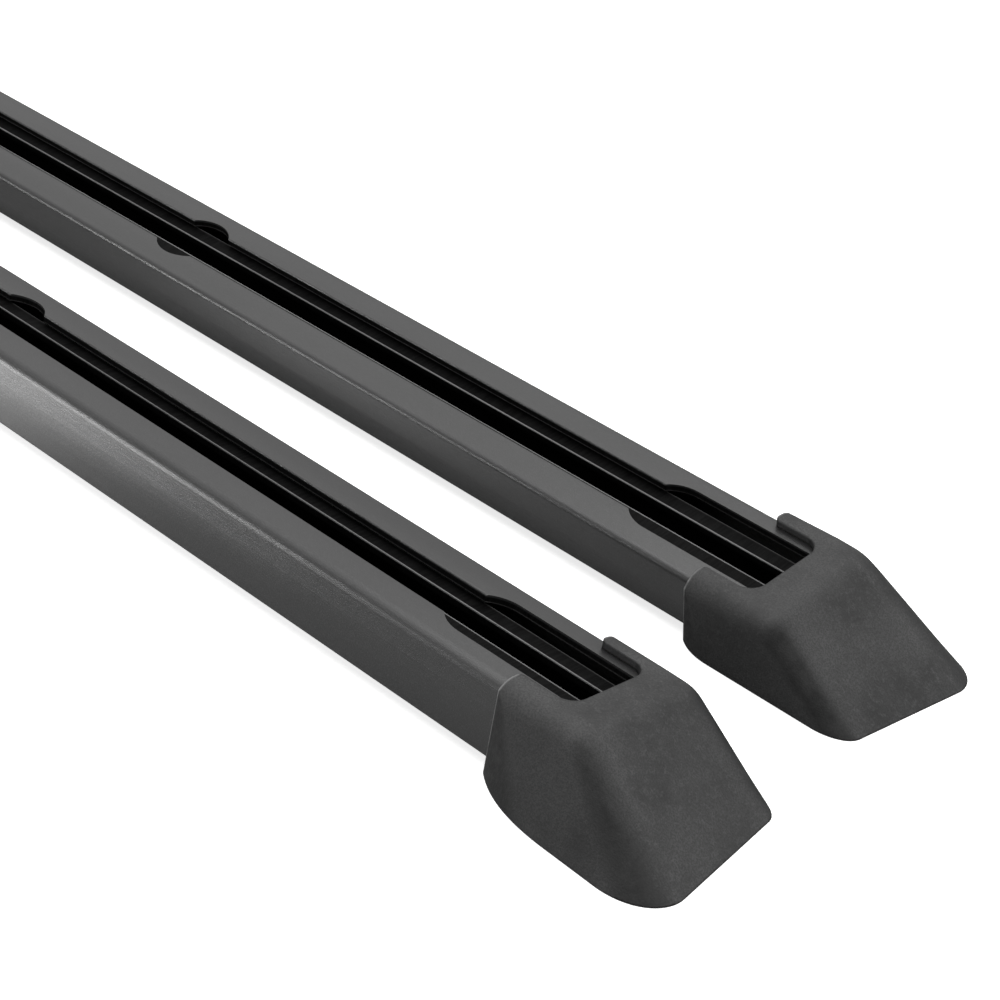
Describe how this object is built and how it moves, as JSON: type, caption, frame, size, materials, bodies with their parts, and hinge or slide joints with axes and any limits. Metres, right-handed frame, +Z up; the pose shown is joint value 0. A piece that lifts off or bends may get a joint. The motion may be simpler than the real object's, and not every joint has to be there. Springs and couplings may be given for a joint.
{
  "type": "pair of roof mounting tracks",
  "caption": "Handed pair of low slotted roof tracks with inner ledges, round notches, end cut-outs and moulded rubber end caps, for bolting to a vehicle roof.",
  "frame": {"origin": "middle of the pair on the plane that the caps and sealing strips rest on", "axes": "+X along the rails, towards the ends shown in front; +Y from the near track to the far track; +Z up"},
  "size_m": [1.1544, 0.1586, 0.0285],
  "materials": {
    "coated_rail": "satin",
    "cap_rubber": "matte",
    "screw_steel": "satin",
    "foam_strip": "matte"
  },
  "bodies": {
    "root": {"far_rail": "coated_rail", "far_front_cap": "cap_rubber", "far_rear_cap": "cap_rubber", "far_cap_screws": "screw_steel", "far_outboard_strip": "foam_strip", "far_inboard_strip": "foam_strip", "near_rail": "coated_rail", "near_front_cap": "cap_rubber", "near_rear_cap": "cap_rubber", "near_cap_screws": "screw_steel", "near_outboard_strip": "foam_strip", "near_inboard_strip": "foam_strip"}
  },
  "joints": []
}
